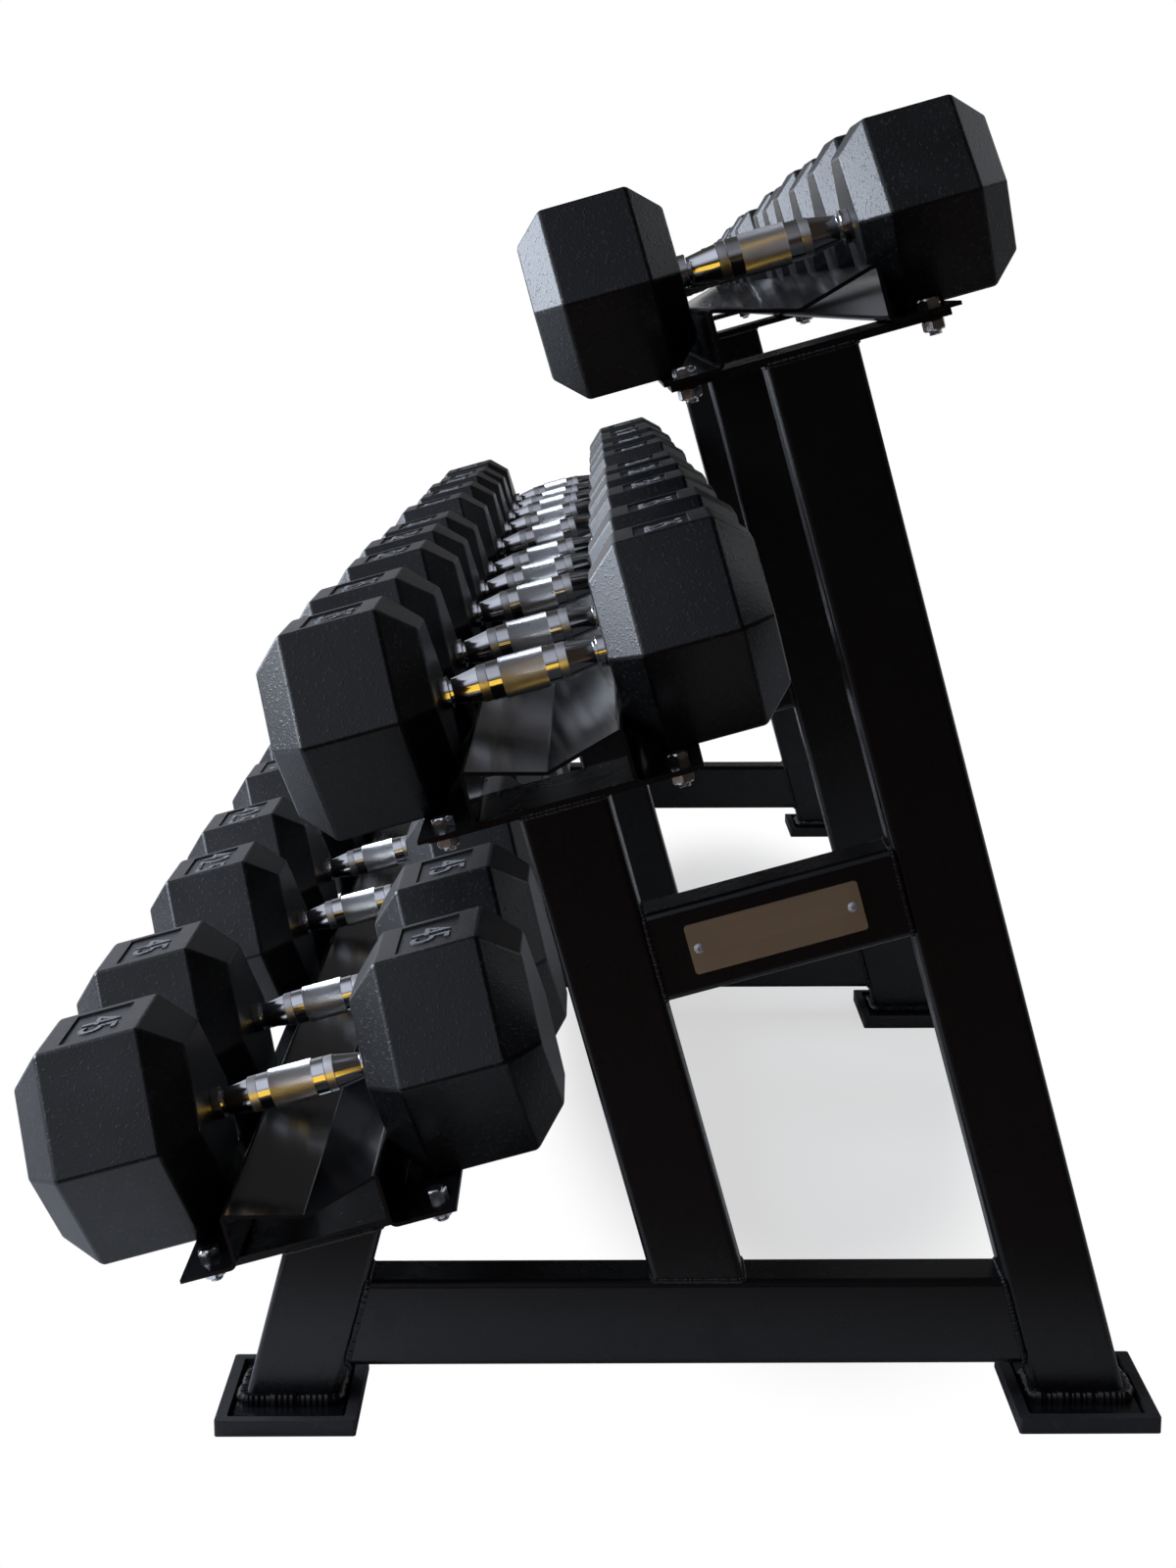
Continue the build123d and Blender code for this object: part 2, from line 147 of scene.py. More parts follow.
def new_finish(name, uniform):
    finish = bpy.data.materials.new(name)
    finish.use_nodes = True
    for socket, value in uniform.items():
        finish.node_tree.nodes["Principled BSDF"].inputs[socket].default_value = value
    return finish, Socket(finish.node_tree).node("ShaderNodeTexCoord", {}, {}, "Object")


def powder_coat(name, roughness, unevenness, peel_height):
    finish, place = new_finish(name, {"Specular IOR Level": 0.5})
    peel = place.noise(PEEL_SCALE, 3.0)
    patches = place.noise(PATCH_SCALE, 4.0)
    rubs = place.noise(RUB_SCALE, 6.0).between(0.52, 0.75)
    (patches * 0.7 + peel * 0.3).tint(COAT_DARK, COAT_LIGHT).feed("Base Color")
    (roughness + patches * unevenness + rubs * unevenness * 0.6).feed("Roughness")
    peel.relief(peel_height).feed("Normal")
    return finish


def copied_shape(node, edge_round):
    """A merged copy of a frame node's mesh, with its sharp edges rounded."""
    shape = bmesh.new()
    shape.from_mesh(frame["nodes"][node].data)
    bmesh.ops.remove_doubles(shape, verts=shape.verts, dist=MERGE_DISTANCE)
    bmesh.ops.dissolve_limit(shape, angle_limit=FLAT_EDGE, verts=shape.verts, edges=shape.edges)
    sharp = [edge for edge in shape.edges if edge.calc_face_angle(0) > ROUNDED_EDGE]
    bmesh.ops.bevel(shape, geom=sharp, offset=edge_round, offset_type="OFFSET", affect="EDGES",
                    segments=2, profile=0.5, material=-1, clamp_overlap=True)
    return shape


def fit_piece(shape, name, finishes, body, stands_for):
    """Turns a shape into a piece that rides on a body and stands for some frame nodes."""
    for edge in shape.edges:
        edge.smooth = edge.smooth and edge.calc_face_angle(0) < SHARP_EDGE
    for face in shape.faces:
        face.smooth = True
    mesh = bpy.data.meshes.new(name)
    shape.to_mesh(mesh)
    shape.free()
    for finish in finishes:
        mesh.materials.append(finish)
    piece = bpy.data.objects.new(name, mesh)
    bpy.context.scene.collection.objects.link(piece)
    even_out = piece.modifiers.new("even_out", "WEIGHTED_NORMAL")
    even_out.keep_sharp = True
    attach(piece, body)
    if stands_for:
        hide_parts(*stands_for)
    return piece


tube_coat = powder_coat("tube_coat", roughness=0.22, unevenness=0.10, peel_height=0.00005)
for side in SIDES:
    for tube in TUBE_NAMES:
        node = side + "_" + tube
        fit_piece(copied_shape(node, TUBE_EDGE), node + "_coated", [tube_coat], "rack", [node])

# Weld beads: a rippled fillet all round the end of each tube, run by hand before coating.
# Each bead is a row of overlapping drops, as the wire leaves them, under the same black coat.
TIERS = ("bottom", "middle", "top")
TUBE_HALF_WIDTH = 0.025
TUBE_HALF_DEPTH = 0.035
TUBE_CORNER = 0.006
FRONT_LEAN = radians(15.0)
SADDLE_THICKNESS = 0.006
BEAD_RADIUS = 0.0026
FOOT_BEAD_RADIUS = 0.0074
FOOT_BEAD_RISE = 0.0020
BEAD_STEP_RATIO = 0.62
BEAD_SINK = 0.0006
DROP_SPREAD = (0.82, 1.10)
DROP_SIDES = 8
DROP_RINGS = 5
CORNER_STEPS = (0, pi / 6, pi / 3)
ACROSS = Vector((1, 0, 0))
OFF_TIER = Vector(frame["joints"][0]["axis"])
UP_TIER = OFF_TIER.cross(ACROSS)
LEAN = atan2(UP_TIER.z, UP_TIER.y)
POST_WAY = Vector((0, sin(FRONT_LEAN), cos(FRONT_LEAN)))
LEVEL = Vector((0, 1, 0))
hand = random.Random(4)


def middle_of(node):
    low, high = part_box(node)
    return (low + high) / 2


def tier_point(tier, x, along, off):
    """A point measured from the middle of a tier's saddle plates, on their tops."""
    top = middle_of(tier + "_saddle_plates") + OFF_TIER * SADDLE_THICKNESS / 2
    return Vector((x, top.y, top.z)) + UP_TIER * along + OFF_TIER * off


def join_shape(target, part):
    """Moves a finished part's faces into target."""
    mesh = bpy.data.meshes.new("part")
    part.to_mesh(mesh)
    part.free()
    target.from_mesh(mesh)
    bpy.data.meshes.remove(mesh)


def add_bead(shape, centre, second_axis, half_second, radius=BEAD_RADIUS):
    """Drops along a rounded rectangle that lies across the rack and along second_axis."""
    bead = bmesh.new()
    halves = (TUBE_HALF_WIDTH - BEAD_SINK, half_second - BEAD_SINK)
    axes = (ACROSS, second_axis)
    for quarter in range(4):
        run = quarter % 2
        way = axes[run] * (1 if quarter < 2 else -1)
        out = axes[1 - run] * (-1 if quarter in (0, 3) else 1)
        straight = halves[run] - TUBE_CORNER
        reach = halves[1 - run]
        steps = round(2 * straight / (radius * BEAD_STEP_RATIO))
        points = [way * straight * (2 * step / steps - 1) + out * reach for step in range(steps)]
        for angle in CORNER_STEPS:
            round_corner = way * sin(angle) + out * cos(angle)
            points.append(way * straight + out * (reach - TUBE_CORNER) + round_corner * TUBE_CORNER)
        for point in points:
            drop = radius * hand.uniform(*DROP_SPREAD)
            place = Matrix.Translation(centre + point)
            bmesh.ops.create_uvsphere(bead, u_segments=DROP_SIDES, v_segments=DROP_RINGS,
                                      radius=drop, matrix=place)
    join_shape(shape, bead)


def mount_y(name):
    return next(mount["pos_m"][1] for mount in frame["record"]["mounts"] if mount["name"] == name)


plate_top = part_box("foot_plates")[1].z
base_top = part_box("right_base_tube")[1].z
base_middle = middle_of("right_base_tube")
x = base_middle.x
front_foot = Vector((x, mount_y("floor_right_front"), plate_top))
rear_foot = Vector((x, mount_y("floor_right_rear"), plate_top))
front_top, upright_top, rear_top = (tier_point(tier, x, 0, -SADDLE_THICKNESS) for tier in TIERS)
front_climb = (front_top - front_foot).dot(OFF_TIER) / POST_WAY.dot(OFF_TIER)
front_slant = TUBE_HALF_DEPTH / cos(FRONT_LEAN)
rear_slant = TUBE_HALF_DEPTH / cos(LEAN)
base_rise = base_middle.z - plate_top
front_butt = front_foot + LEVEL * (front_slant + base_rise * tan(FRONT_LEAN))
rear_butt = rear_foot - LEVEL * (rear_slant + base_rise * tan(LEAN))
upright_foot = upright_top.y + (upright_top.z - base_top) * tan(LEAN)
strut_middle = middle_of("right_strut")
strut_half = (rear_top - strut_middle).dot(UP_TIER) - TUBE_HALF_DEPTH
right_beads = bmesh.new()
foot_rise = Vector((0, 0, FOOT_BEAD_RISE))
add_bead(right_beads, front_foot + foot_rise, LEVEL, front_slant, FOOT_BEAD_RADIUS)
add_bead(right_beads, rear_foot + foot_rise, LEVEL, rear_slant, FOOT_BEAD_RADIUS)
front_join = TUBE_HALF_DEPTH / POST_WAY.dot(OFF_TIER)
add_bead(right_beads, front_foot + POST_WAY * front_climb, UP_TIER, front_join)
add_bead(right_beads, upright_top, UP_TIER, TUBE_HALF_DEPTH)
add_bead(right_beads, rear_top, UP_TIER, TUBE_HALF_DEPTH)
add_bead(right_beads, Vector((x, front_butt.y, base_middle.z)), POST_WAY, front_slant)
add_bead(right_beads, Vector((x, rear_butt.y, base_middle.z)), OFF_TIER, rear_slant)
add_bead(right_beads, Vector((x, upright_foot, base_top)), LEVEL, rear_slant)
for end in (-1, 1):
    add_bead(right_beads, strut_middle + UP_TIER * end * strut_half, OFF_TIER, TUBE_HALF_DEPTH)
for side in SIDES:
    beads = right_beads.copy()
    bmesh.ops.translate(beads, verts=beads.verts, vec=ACROSS * (middle_of(side + "_strut").x - x))
    fit_piece(beads, side + "_weld_beads", [tube_coat], "rack", [])
right_beads.free()

# Feet: a steel plate welded under each front and rear post and coated with the frame,
# and a moulded black rubber dish with a raised rim that the plate drops into.
PLATE_EDGE = 0.0006
DISH_EDGE = 0.0009
RUBBER_DARK = (0.018, 0.018, 0.020, 1)
RUBBER_LIGHT = (0.050, 0.050, 0.054, 1)
MOTTLE_SCALE = 60.0
GRIT_SCALE = 900.0
DUST_SCALE = 220.0
GRIT_HEIGHT = 0.00025

dish_rubber, place = new_finish("dish_rubber", {"Specular IOR Level": 0.4})
mottle = place.noise(MOTTLE_SCALE, 5.0)
grit = place.noise(GRIT_SCALE, 2.0)
dust = place.noise(DUST_SCALE, 3.0).between(0.58, 0.72)
(mottle * 0.55 + dust * 0.35).tint(RUBBER_DARK, RUBBER_LIGHT).feed("Base Color")
(0.55 + mottle * 0.25).feed("Roughness")
(grit * 0.5 + mottle * 0.5).relief(GRIT_HEIGHT).feed("Normal")
fit_piece(copied_shape("foot_plates", PLATE_EDGE), "foot_plates_coated", [tube_coat],
          "rack", ["foot_plates"])
fit_piece(copied_shape("rubber_feet", DISH_EDGE), "rubber_feet_moulded", [dish_rubber],
          "rack", ["rubber_feet"])

# Saddle plates and trays: flat plates across the post tops, and folded sheet trays that bolt down on them.
# A tray has a raised crown with a shallow valley, and two flanges that the dumbbell heads stand on.
SADDLE_EDGE = 0.0008
SHEET_EDGE = 0.0005

tray_coat = powder_coat("tray_coat", roughness=0.11, unevenness=0.03, peel_height=0.000002)
for tier in TIERS:
    saddles = tier + "_saddle_plates"
    fit_piece(copied_shape(saddles, SADDLE_EDGE), saddles + "_coated", [tube_coat],
              "rack", [saddles])
    for end in ("right", "left"):
        tray = tier + "_tray_" + end
        fit_piece(copied_shape(tray, SHEET_EDGE), tray + "_coated", [tray_coat],
                  "rack", [tray])

# Tray bolts and nuts: zinc plated M10 hexagon set, one through each tray corner and saddle plate.
# Heads and nuts are cold forged with a round chamfer, and the rolled thread shows below the nut.
SHEET = 0.003
BOLT_RADIUS = 0.005
HEX_FLATS = 0.016
HEAD_HEIGHT = 0.0064
NUT_HEIGHT = 0.0084
BOLT_TAIL = 0.003
THREAD_PITCH = 0.0015
THREAD_DEPTH = 0.0007
THREAD_TURNS = 2
BOLT_OFFSET = 0.092
END_BOLT_INSET = 0.015
SEAM_BOLT_OFFSET = 0.014
HEX_CHAMFER = 0.0013
SEAT_CHAMFER = 0.0002
CHAMFER_RUN = 1.5
HEX_STEPS = 36
ROUND_STEPS = 24
ZINC_DARK = (0.62, 0.63, 0.65, 1)
ZINC_LIGHT = (0.90, 0.91, 0.92, 1)
CLOUD_SCALE = 260.0
CRYSTAL_SCALE = 1500.0
CRYSTAL_HEIGHT = 0.00003


def plated(name, roughness):
    finish, place = new_finish(name, {"Metallic": 1.0})
    clouds = place.noise(CLOUD_SCALE, 4.0)
    clouds.tint(ZINC_DARK, ZINC_LIGHT).feed("Base Color")
    (roughness + clouds * 0.16).feed("Roughness")
    place.noise(CRYSTAL_SCALE, 2.0).relief(CRYSTAL_HEIGHT).feed("Normal")
    return finish


def turned(profile, steps):
    """A closed solid turned about Z from (radius, height) points."""
    shape = bmesh.new()
    points = [shape.verts.new((radius, 0, height)) for radius, height in profile]
    edges = [shape.edges.new(pair) for pair in zip(points, points[1:])]
    bmesh.ops.spin(shape, geom=points + edges, cent=(0, 0, 0), axis=(0, 0, 1), angle=2 * pi,
                   steps=steps, use_merge=True)
    bmesh.ops.remove_doubles(shape, verts=shape.verts, dist=MERGE_DISTANCE)
    bmesh.ops.recalc_face_normals(shape, faces=shape.faces)
    return shape


def hexagon(low, high, chamfer_low, chamfer_high):
    """A forged hexagon between two heights, with a turned chamfer at its ends."""
    corner = HEX_FLATS / sqrt(3)
    profile = [(0, low), (corner - chamfer_low * CHAMFER_RUN, low), (corner, low + chamfer_low)]
    profile += [(corner, high - chamfer_high), (corner - chamfer_high * CHAMFER_RUN, high), (0, high)]
    shape = turned(profile, HEX_STEPS)
    for vert in shape.verts:
        angle = atan2(vert.co.y, vert.co.x) % (pi / 3) - pi / 6
        reach = HEX_FLATS / 2 / cos(angle)
        shrink = min(1, reach / max(hypot(vert.co.x, vert.co.y), reach / 2))
        vert.co.x *= shrink
        vert.co.y *= shrink
    return shape


zinc = plated("zinc_plate", roughness=0.12)
grip = SHEET + SADDLE_THICKNESS
shank = [(0, 0), (BOLT_RADIUS, 0), (BOLT_RADIUS, -grip - NUT_HEIGHT + THREAD_PITCH / 2)]
for thread in range(THREAD_TURNS):
    ridge = shank[-1][1] - THREAD_PITCH / 2
    shank += [(BOLT_RADIUS - THREAD_DEPTH, ridge), (BOLT_RADIUS, ridge - THREAD_PITCH / 2)]
tail_end = -grip - NUT_HEIGHT - BOLT_TAIL
shank += [(BOLT_RADIUS - THREAD_DEPTH, tail_end), (0, tail_end)]
bolt = hexagon(0, HEAD_HEIGHT, SEAT_CHAMFER, HEX_CHAMFER)
join_shape(bolt, turned(shank, ROUND_STEPS))
nut = hexagon(-grip - NUT_HEIGHT, -grip, HEX_CHAMFER, HEX_CHAMFER)
bolts = bmesh.new()
nuts = bmesh.new()
tier_axes = Matrix((ACROSS, UP_TIER, OFF_TIER)).transposed().to_4x4()
end_bolt_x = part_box("right_strut")[1].x - END_BOLT_INSET
for tier in TIERS:
    for x in (end_bolt_x, SEAM_BOLT_OFFSET, -SEAM_BOLT_OFFSET, -end_bolt_x):
        for along in (-BOLT_OFFSET, BOLT_OFFSET):
            turn = Matrix.Rotation(hand.uniform(0, pi / 3), 4, "Z")
            upright = Matrix.Translation(tier_point(tier, x, along, SHEET)) @ tier_axes @ turn
            for group, pattern in ((bolts, bolt), (nuts, nut)):
                fastener = pattern.copy()
                bmesh.ops.transform(fastener, matrix=upright, verts=fastener.verts)
                join_shape(group, fastener)
bolt.free()
nut.free()
fit_piece(bolts, "tray_bolts_plated", [zinc], "rack", ["tray_bolts"])
fit_piece(nuts, "tray_nuts_plated", [zinc], "rack", ["tray_nuts"])

# Badge plate: a bare strip of brushed sheet metal with rounded corners, cut to lie on the right-hand strut.
# Two small plated button-head socket screws hold it.
BADGE_EDGE = 0.0003
BADGE_DARK = (0.70, 0.60, 0.45, 1)
BADGE_LIGHT = (0.98, 0.85, 0.64, 1)
BRUSH_ALONG = 6.0
BRUSH_ACROSS = 1400.0
BRUSH_DEPTH = 0.00003
SMEAR_SCALE = 26.0
BUTTON_RADIUS = 0.004
BUTTON_HEIGHT = 0.0026
SOCKET_FLATS = 0.0025
SOCKET_DEPTH = 0.0014
SCREW_SPOT = 0.060
SCREW_SHANK = 0.002
SCREW_REACH = 0.006
DOME_ANGLES = (0, 0.35, 0.7, 1.05, 1.3)

brushed, place = new_finish("brushed_badge", {"Metallic": 1.0})
lengthwise = place.node("ShaderNodeMapping", {}, {"Vector": place, "Rotation": (-LEAN, 0, 0)})
brush_scale = (1, BRUSH_ALONG, BRUSH_ACROSS)
stretched = place.node("ShaderNodeMapping", {}, {"Vector": lengthwise, "Scale": brush_scale})
brush = stretched.noise(1.0, 4.0)
smear = place.noise(SMEAR_SCALE, 3.0)
(brush * 0.7 + smear * 0.3).tint(BADGE_DARK, BADGE_LIGHT).feed("Base Color")
(0.30 + brush * 0.16 + smear * 0.06).feed("Roughness")
brush.relief(BRUSH_DEPTH).feed("Normal")
fit_piece(copied_shape("badge_plate", BADGE_EDGE), "badge_plate_brushed", [brushed],
          "rack", ["badge_plate"])

screws = bmesh.new()
badge_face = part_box("badge_plate")[1].x
badge_middle = middle_of("badge_plate")
dome = [(BUTTON_RADIUS * cos(angle), BUTTON_HEIGHT * sin(angle)) for angle in DOME_ANGLES]
socket_radius = SOCKET_FLATS / sqrt(3)
socket_mouth = dome[-1][1]
socket_floor = socket_mouth - SOCKET_DEPTH
head = [(0, -SCREW_REACH), (SCREW_SHANK, -SCREW_REACH), (SCREW_SHANK, 0), *dome]
head += [(socket_radius, socket_mouth), (socket_radius, socket_floor), (0, socket_floor)]
outward = Matrix((UP_TIER, OFF_TIER, ACROSS)).transposed().to_4x4()
for end in (-1, 1):
    seat = Vector((badge_face, badge_middle.y, badge_middle.z)) + UP_TIER * end * SCREW_SPOT
    screw = turned(head, ROUND_STEPS)
    bmesh.ops.transform(screw, matrix=Matrix.Translation(seat) @ outward, verts=screw.verts)
    join_shape(screws, screw)
satin_zinc = plated("satin_zinc", roughness=0.62)
fit_piece(screws, "badge_screws_plated", [satin_zinc], "rack", ["badge_screws"])

# Dumbbells: two six-sided iron heads in a moulded black rubber skin, pressed on a chromed steel handle.
# The handle is turned with collars, tapers and satin rings, and rolled with a diamond knurl in the middle.
# Each head has a label pocket on its top flat, with its weight in raised plain numerals; their pale grey is a
# painted highlight, for the glint on the tops of the dark rubber letters.
GRIP_LENGTH = 0.135
HEAD_LENGTH_RATIO = 0.785
CHAMFER_LENGTH_RATIO = 0.16
CHAMFER_DEPTH_RATIO = 0.15
HEAD_EDGE_RATIO = 0.014
LABEL_LENGTH_RATIO = 0.58
LABEL_WIDTH_RATIO = 0.80
LABEL_DEPTH = 0.002
POCKET_RIM_RATIO = 0.01
POCKET_SLOPE = 0.0008
NUMERAL_HEIGHT_RATIO = 0.68
NUMERAL_RISE = 0.0011
DIGIT_SHARE = 0.7
DIGIT_STEPS = 3
COLLAR_LENGTH = 0.0074
COLLAR_RADIUS = 0.013
NECK_LENGTH = 0.0025
NECK_RADIUS = 0.009
TAPER_LENGTH = 0.0216
TAPER_THIN_RADIUS = 0.0105
TAPER_THICK_RADIUS = 0.0142
RING_LENGTH = 0.0074
RING_RADIUS = 0.0150
SHOULDER_LENGTH = 0.0108
SHOULDER_RADIUS = 0.0153
KNURL_RADIUS = 0.0165
KNURL_HEIGHT = 0.0005
KNURL_ROWS = 40
KNURL_COLUMNS = 116
SLEEVE_BORE = 0.014
TURNED_EDGE = 0.0004
BAR_ENTRY = 0.001
HANDLE_STEPS = 48
SKIN_DARK = (0.0036, 0.0038, 0.0046, 1)
SKIN_LIGHT = (0.034, 0.035, 0.039, 1)
GRAIN_SCALE = 620.0
FLECK_SCALE = 310.0
BLOOM_SCALE = 14.0
GRAIN_HEIGHT = 0.00019
CHROME_TINT = (0.80, 0.80, 0.81, 1)
CHROME_DULL = (0.66, 0.66, 0.67, 1)
HAZE_SCALE = 90.0
POLISH_SCALE = 1800.0
# The numerals' pale grey is a painted highlight for the glint on their glossy tops, with darker gaps between the
# glints.
NUMERAL_PAINTED_GLINT = (0.24, 0.24, 0.25, 1)
NUMERAL_DARK_GAPS = (0.07, 0.07, 0.075, 1)
GLINT_AND_WEAR_SCALE = 480.0
WEAR_DEPTH = 0.0001
RUBBER, NUMERAL_GLINT_SLOT = range(2)
CHROME, SATIN, KNURL = range(3)


def head_skin():
    finish, place = new_finish("head_rubber", {"Specular IOR Level": 0.45})
    grain = place.noise(GRAIN_SCALE, 3.0)
    flecks = place.noise(FLECK_SCALE, 2.0).between(0.56, 0.72)
    bloom = place.noise(BLOOM_SCALE, 4.0)
    paleness = flecks * 0.60 + bloom.between(0.44, 0.74) * 0.30
    paleness.tint(SKIN_DARK, SKIN_LIGHT).feed("Base Color")
    (0.27 + bloom * 0.10 + grain * 0.10).feed("Roughness")
    (grain * 0.5 + flecks * 0.5).relief(GRAIN_HEIGHT).feed("Normal")
    return finish


def handle_metal(name, roughness, spread, grain_height):
    finish, place = new_finish(name, {"Metallic": 1.0})
    haze = place.noise(HAZE_SCALE, 4.0)
    haze.tint(CHROME_DULL, CHROME_TINT).feed("Base Color")
    (roughness + haze * spread).feed("Roughness")
    place.noise(POLISH_SCALE, 2.0).relief(grain_height).feed("Normal")
    return finish


# Painted highlight: the numerals are coloured pale grey in patches, standing for the glint on dark glossy raised
# letters; the same patches vary their roughness and bump.
def numeral_paint():
    finish, place = new_finish("numeral_paint", {"Specular IOR Level": 0.4})
    glint_and_wear = place.noise(GLINT_AND_WEAR_SCALE, 5.0).between(0.45, 0.68)
    glint_and_wear.tint(NUMERAL_PAINTED_GLINT, NUMERAL_DARK_GAPS).feed("Base Color")
    (0.45 + glint_and_wear * 0.2).feed("Roughness")
    glint_and_wear.relief(WEAR_DEPTH).feed("Normal")
    return finish


HEAD_FINISHES = [head_skin(), numeral_paint()]
HANDLE_FINISHES = [
    handle_metal("handle_chrome", roughness=0.07, spread=0.08, grain_height=0.000004),
    handle_metal("handle_satin", roughness=0.30, spread=0.14, grain_height=0.00002),
    handle_metal("handle_knurl", roughness=0.24, spread=0.10, grain_height=0.00001),
]


def add_head(shape, flats, way):
    """One head along the shape's own Y axis, with its label pocket on the +Z flat."""
    length = HEAD_LENGTH_RATIO * flats
    slope = CHAMFER_LENGTH_RATIO * flats
    small = 1 - 2 * CHAMFER_DEPTH_RATIO
    corner = flats / sqrt(3)
    block = bmesh.new()
    along_y = Matrix.Rotation(-pi / 2, 4, "X") @ Matrix.Rotation(pi / 2, 4, "Z")
    bmesh.ops.create_circle(block, cap_ends=True, radius=corner * small, segments=6, matrix=along_y)
    inner_face = block.faces[:][0]
    end_face = inner_face
    for advance, growth in ((slope, 1 / small), (length - 2 * slope, 1), (slope, small)):
        grown = bmesh.ops.extrude_face_region(block, geom=[end_face])["geom"]
        if end_face != inner_face:
            bmesh.ops.delete(block, geom=[end_face], context="FACES_ONLY")
        end_face = next(item for item in grown if isinstance(item, bmesh.types.BMFace))
        bmesh.ops.translate(block, verts=end_face.verts, vec=(0, advance, 0))
        bmesh.ops.scale(block, verts=end_face.verts, vec=(growth, 1, growth))
    bmesh.ops.translate(block, verts=block.verts, vec=(0, GRIP_LENGTH / 2, 0))
    if way < 0:
        bmesh.ops.scale(block, verts=block.verts, vec=(1, -1, 1))
    bmesh.ops.recalc_face_normals(block, faces=block.faces)
    bmesh.ops.bevel(block, geom=block.edges, offset=flats * HEAD_EDGE_RATIO, offset_type="OFFSET",
                    affect="EDGES", segments=3, profile=0.5, material=-1)
    flat = max(block.faces, key=lambda face: face.normal.z * face.calc_area())
    middle = flat.calc_center_median()
    pocket = Vector((corner * LABEL_WIDTH_RATIO, (length - 2 * slope) * LABEL_LENGTH_RATIO))
    bmesh.ops.inset_individual(block, faces=[flat], thickness=flats * POCKET_RIM_RATIO)
    spread = [2 * max(abs(vert.co[axis] - middle[axis]) for vert in flat.verts) for axis in (0, 1)]
    ratio = (pocket.x / spread[0], pocket.y / spread[1], 1)
    bmesh.ops.scale(block, verts=flat.verts, vec=ratio, space=Matrix.Translation(-middle))
    bmesh.ops.inset_individual(block, faces=[flat], thickness=POCKET_SLOPE, depth=-LABEL_DEPTH)
    for face in block.faces:
        face.material_index = RUBBER
    join_shape(shape, block)
    return middle - Vector((0, 0, LABEL_DEPTH)), pocket.y * NUMERAL_HEIGHT_RATIO


def add_numerals(shape, text, floor, height):
    """Raised numerals standing on the pocket's floor, their baseline along X."""
    lettering = bpy.data.curves.new("numerals", "FONT")
    lettering.body = text
    lettering.align_x = "CENTER"
    lettering.align_y = "CENTER"
    lettering.size = height / DIGIT_SHARE
    lettering.extrude = NUMERAL_RISE
    lettering.resolution_u = DIGIT_STEPS
    holder = bpy.data.objects.new("numerals", lettering)
    bpy.context.scene.collection.objects.link(holder)
    bpy.context.view_layer.update()
    digits = bpy.data.meshes.new_from_object(holder)
    bpy.data.objects.remove(holder)
    bpy.data.curves.remove(lettering)
    digits.materials.clear()
    digits.transform(Matrix.Translation(floor))
    before = len(shape.faces)
    shape.from_mesh(digits)
    bpy.data.meshes.remove(digits)
    shape.faces.ensure_lookup_table()
    # The numerals take the pale painted-highlight finish.
    for face in shape.faces[before:]:
        face.material_index = NUMERAL_GLINT_SLOT
    painted = list({vert for face in shape.faces[before:] for vert in face.verts})
    bmesh.ops.remove_doubles(shape, verts=painted, dist=MERGE_DISTANCE)


def turned_handle():
    """The turned bar along Y, and the knurled sleeve rolled into its middle."""
    grip_end = GRIP_LENGTH / 2
    collar_start = grip_end - COLLAR_LENGTH
    taper_end = collar_start - NECK_LENGTH
    ring_end = taper_end - TAPER_LENGTH
    shoulder_end = ring_end - RING_LENGTH
    knurl_end = shoulder_end - SHOULDER_LENGTH
    edge = TURNED_EDGE
    half = [(SHOULDER_RADIUS, knurl_end), (SHOULDER_RADIUS, shoulder_end - edge)]
    half += [(RING_RADIUS - edge / 2, shoulder_end), (RING_RADIUS, shoulder_end + edge)]
    half += [(RING_RADIUS, ring_end - edge), (RING_RADIUS - edge, ring_end), (TAPER_THICK_RADIUS, ring_end)]
    half += [(TAPER_THIN_RADIUS, taper_end - edge), (TAPER_THIN_RADIUS - edge, taper_end)]
    half += [(NECK_RADIUS, taper_end), (NECK_RADIUS, collar_start), (COLLAR_RADIUS - edge, collar_start)]
    half += [(COLLAR_RADIUS, collar_start + edge), (COLLAR_RADIUS, grip_end - edge)]
    bar_end = grip_end + BAR_ENTRY
    half += [(COLLAR_RADIUS - edge, grip_end), (COLLAR_RADIUS - edge, bar_end), (0, bar_end)]
    bar = turned([(radius, -along) for radius, along in reversed(half)] + half, HANDLE_STEPS)
    for face in bar.faces:
        along = abs(face.calc_center_median().z)
        face.material_index = SATIN if shoulder_end < along < ring_end else CHROME
    row = 2 * knurl_end / KNURL_ROWS
    column = 2 * pi / KNURL_COLUMNS
    rows = [(KNURL_RADIUS, step * row - knurl_end) for step in range(KNURL_ROWS + 1)]
    bore = [(SLEEVE_BORE, knurl_end), (SLEEVE_BORE, -knurl_end)]
    sleeve = turned([bore[-1], *rows, *bore], KNURL_COLUMNS)
    valleys = []
    for vert in sleeve.verts:
        place = round(atan2(vert.co.y, vert.co.x) / column) + round((vert.co.z + knurl_end) / row)
        if place % 2 and hypot(vert.co.x, vert.co.y) > SHOULDER_RADIUS:
            valleys.append(vert)
    bmesh.ops.connect_verts(sleeve, verts=valleys)
    sink = 1 - KNURL_HEIGHT / KNURL_RADIUS
    bmesh.ops.scale(sleeve, verts=valleys, vec=(sink, sink, 1))
    for face in sleeve.faces:
        face.material_index = KNURL
    for crease in sleeve.edges:
        crease.smooth = False
    join_shape(bar, sleeve)
    bmesh.ops.rotate(bar, verts=bar.verts, matrix=Matrix.Rotation(-pi / 2, 3, "X"))
    return bar


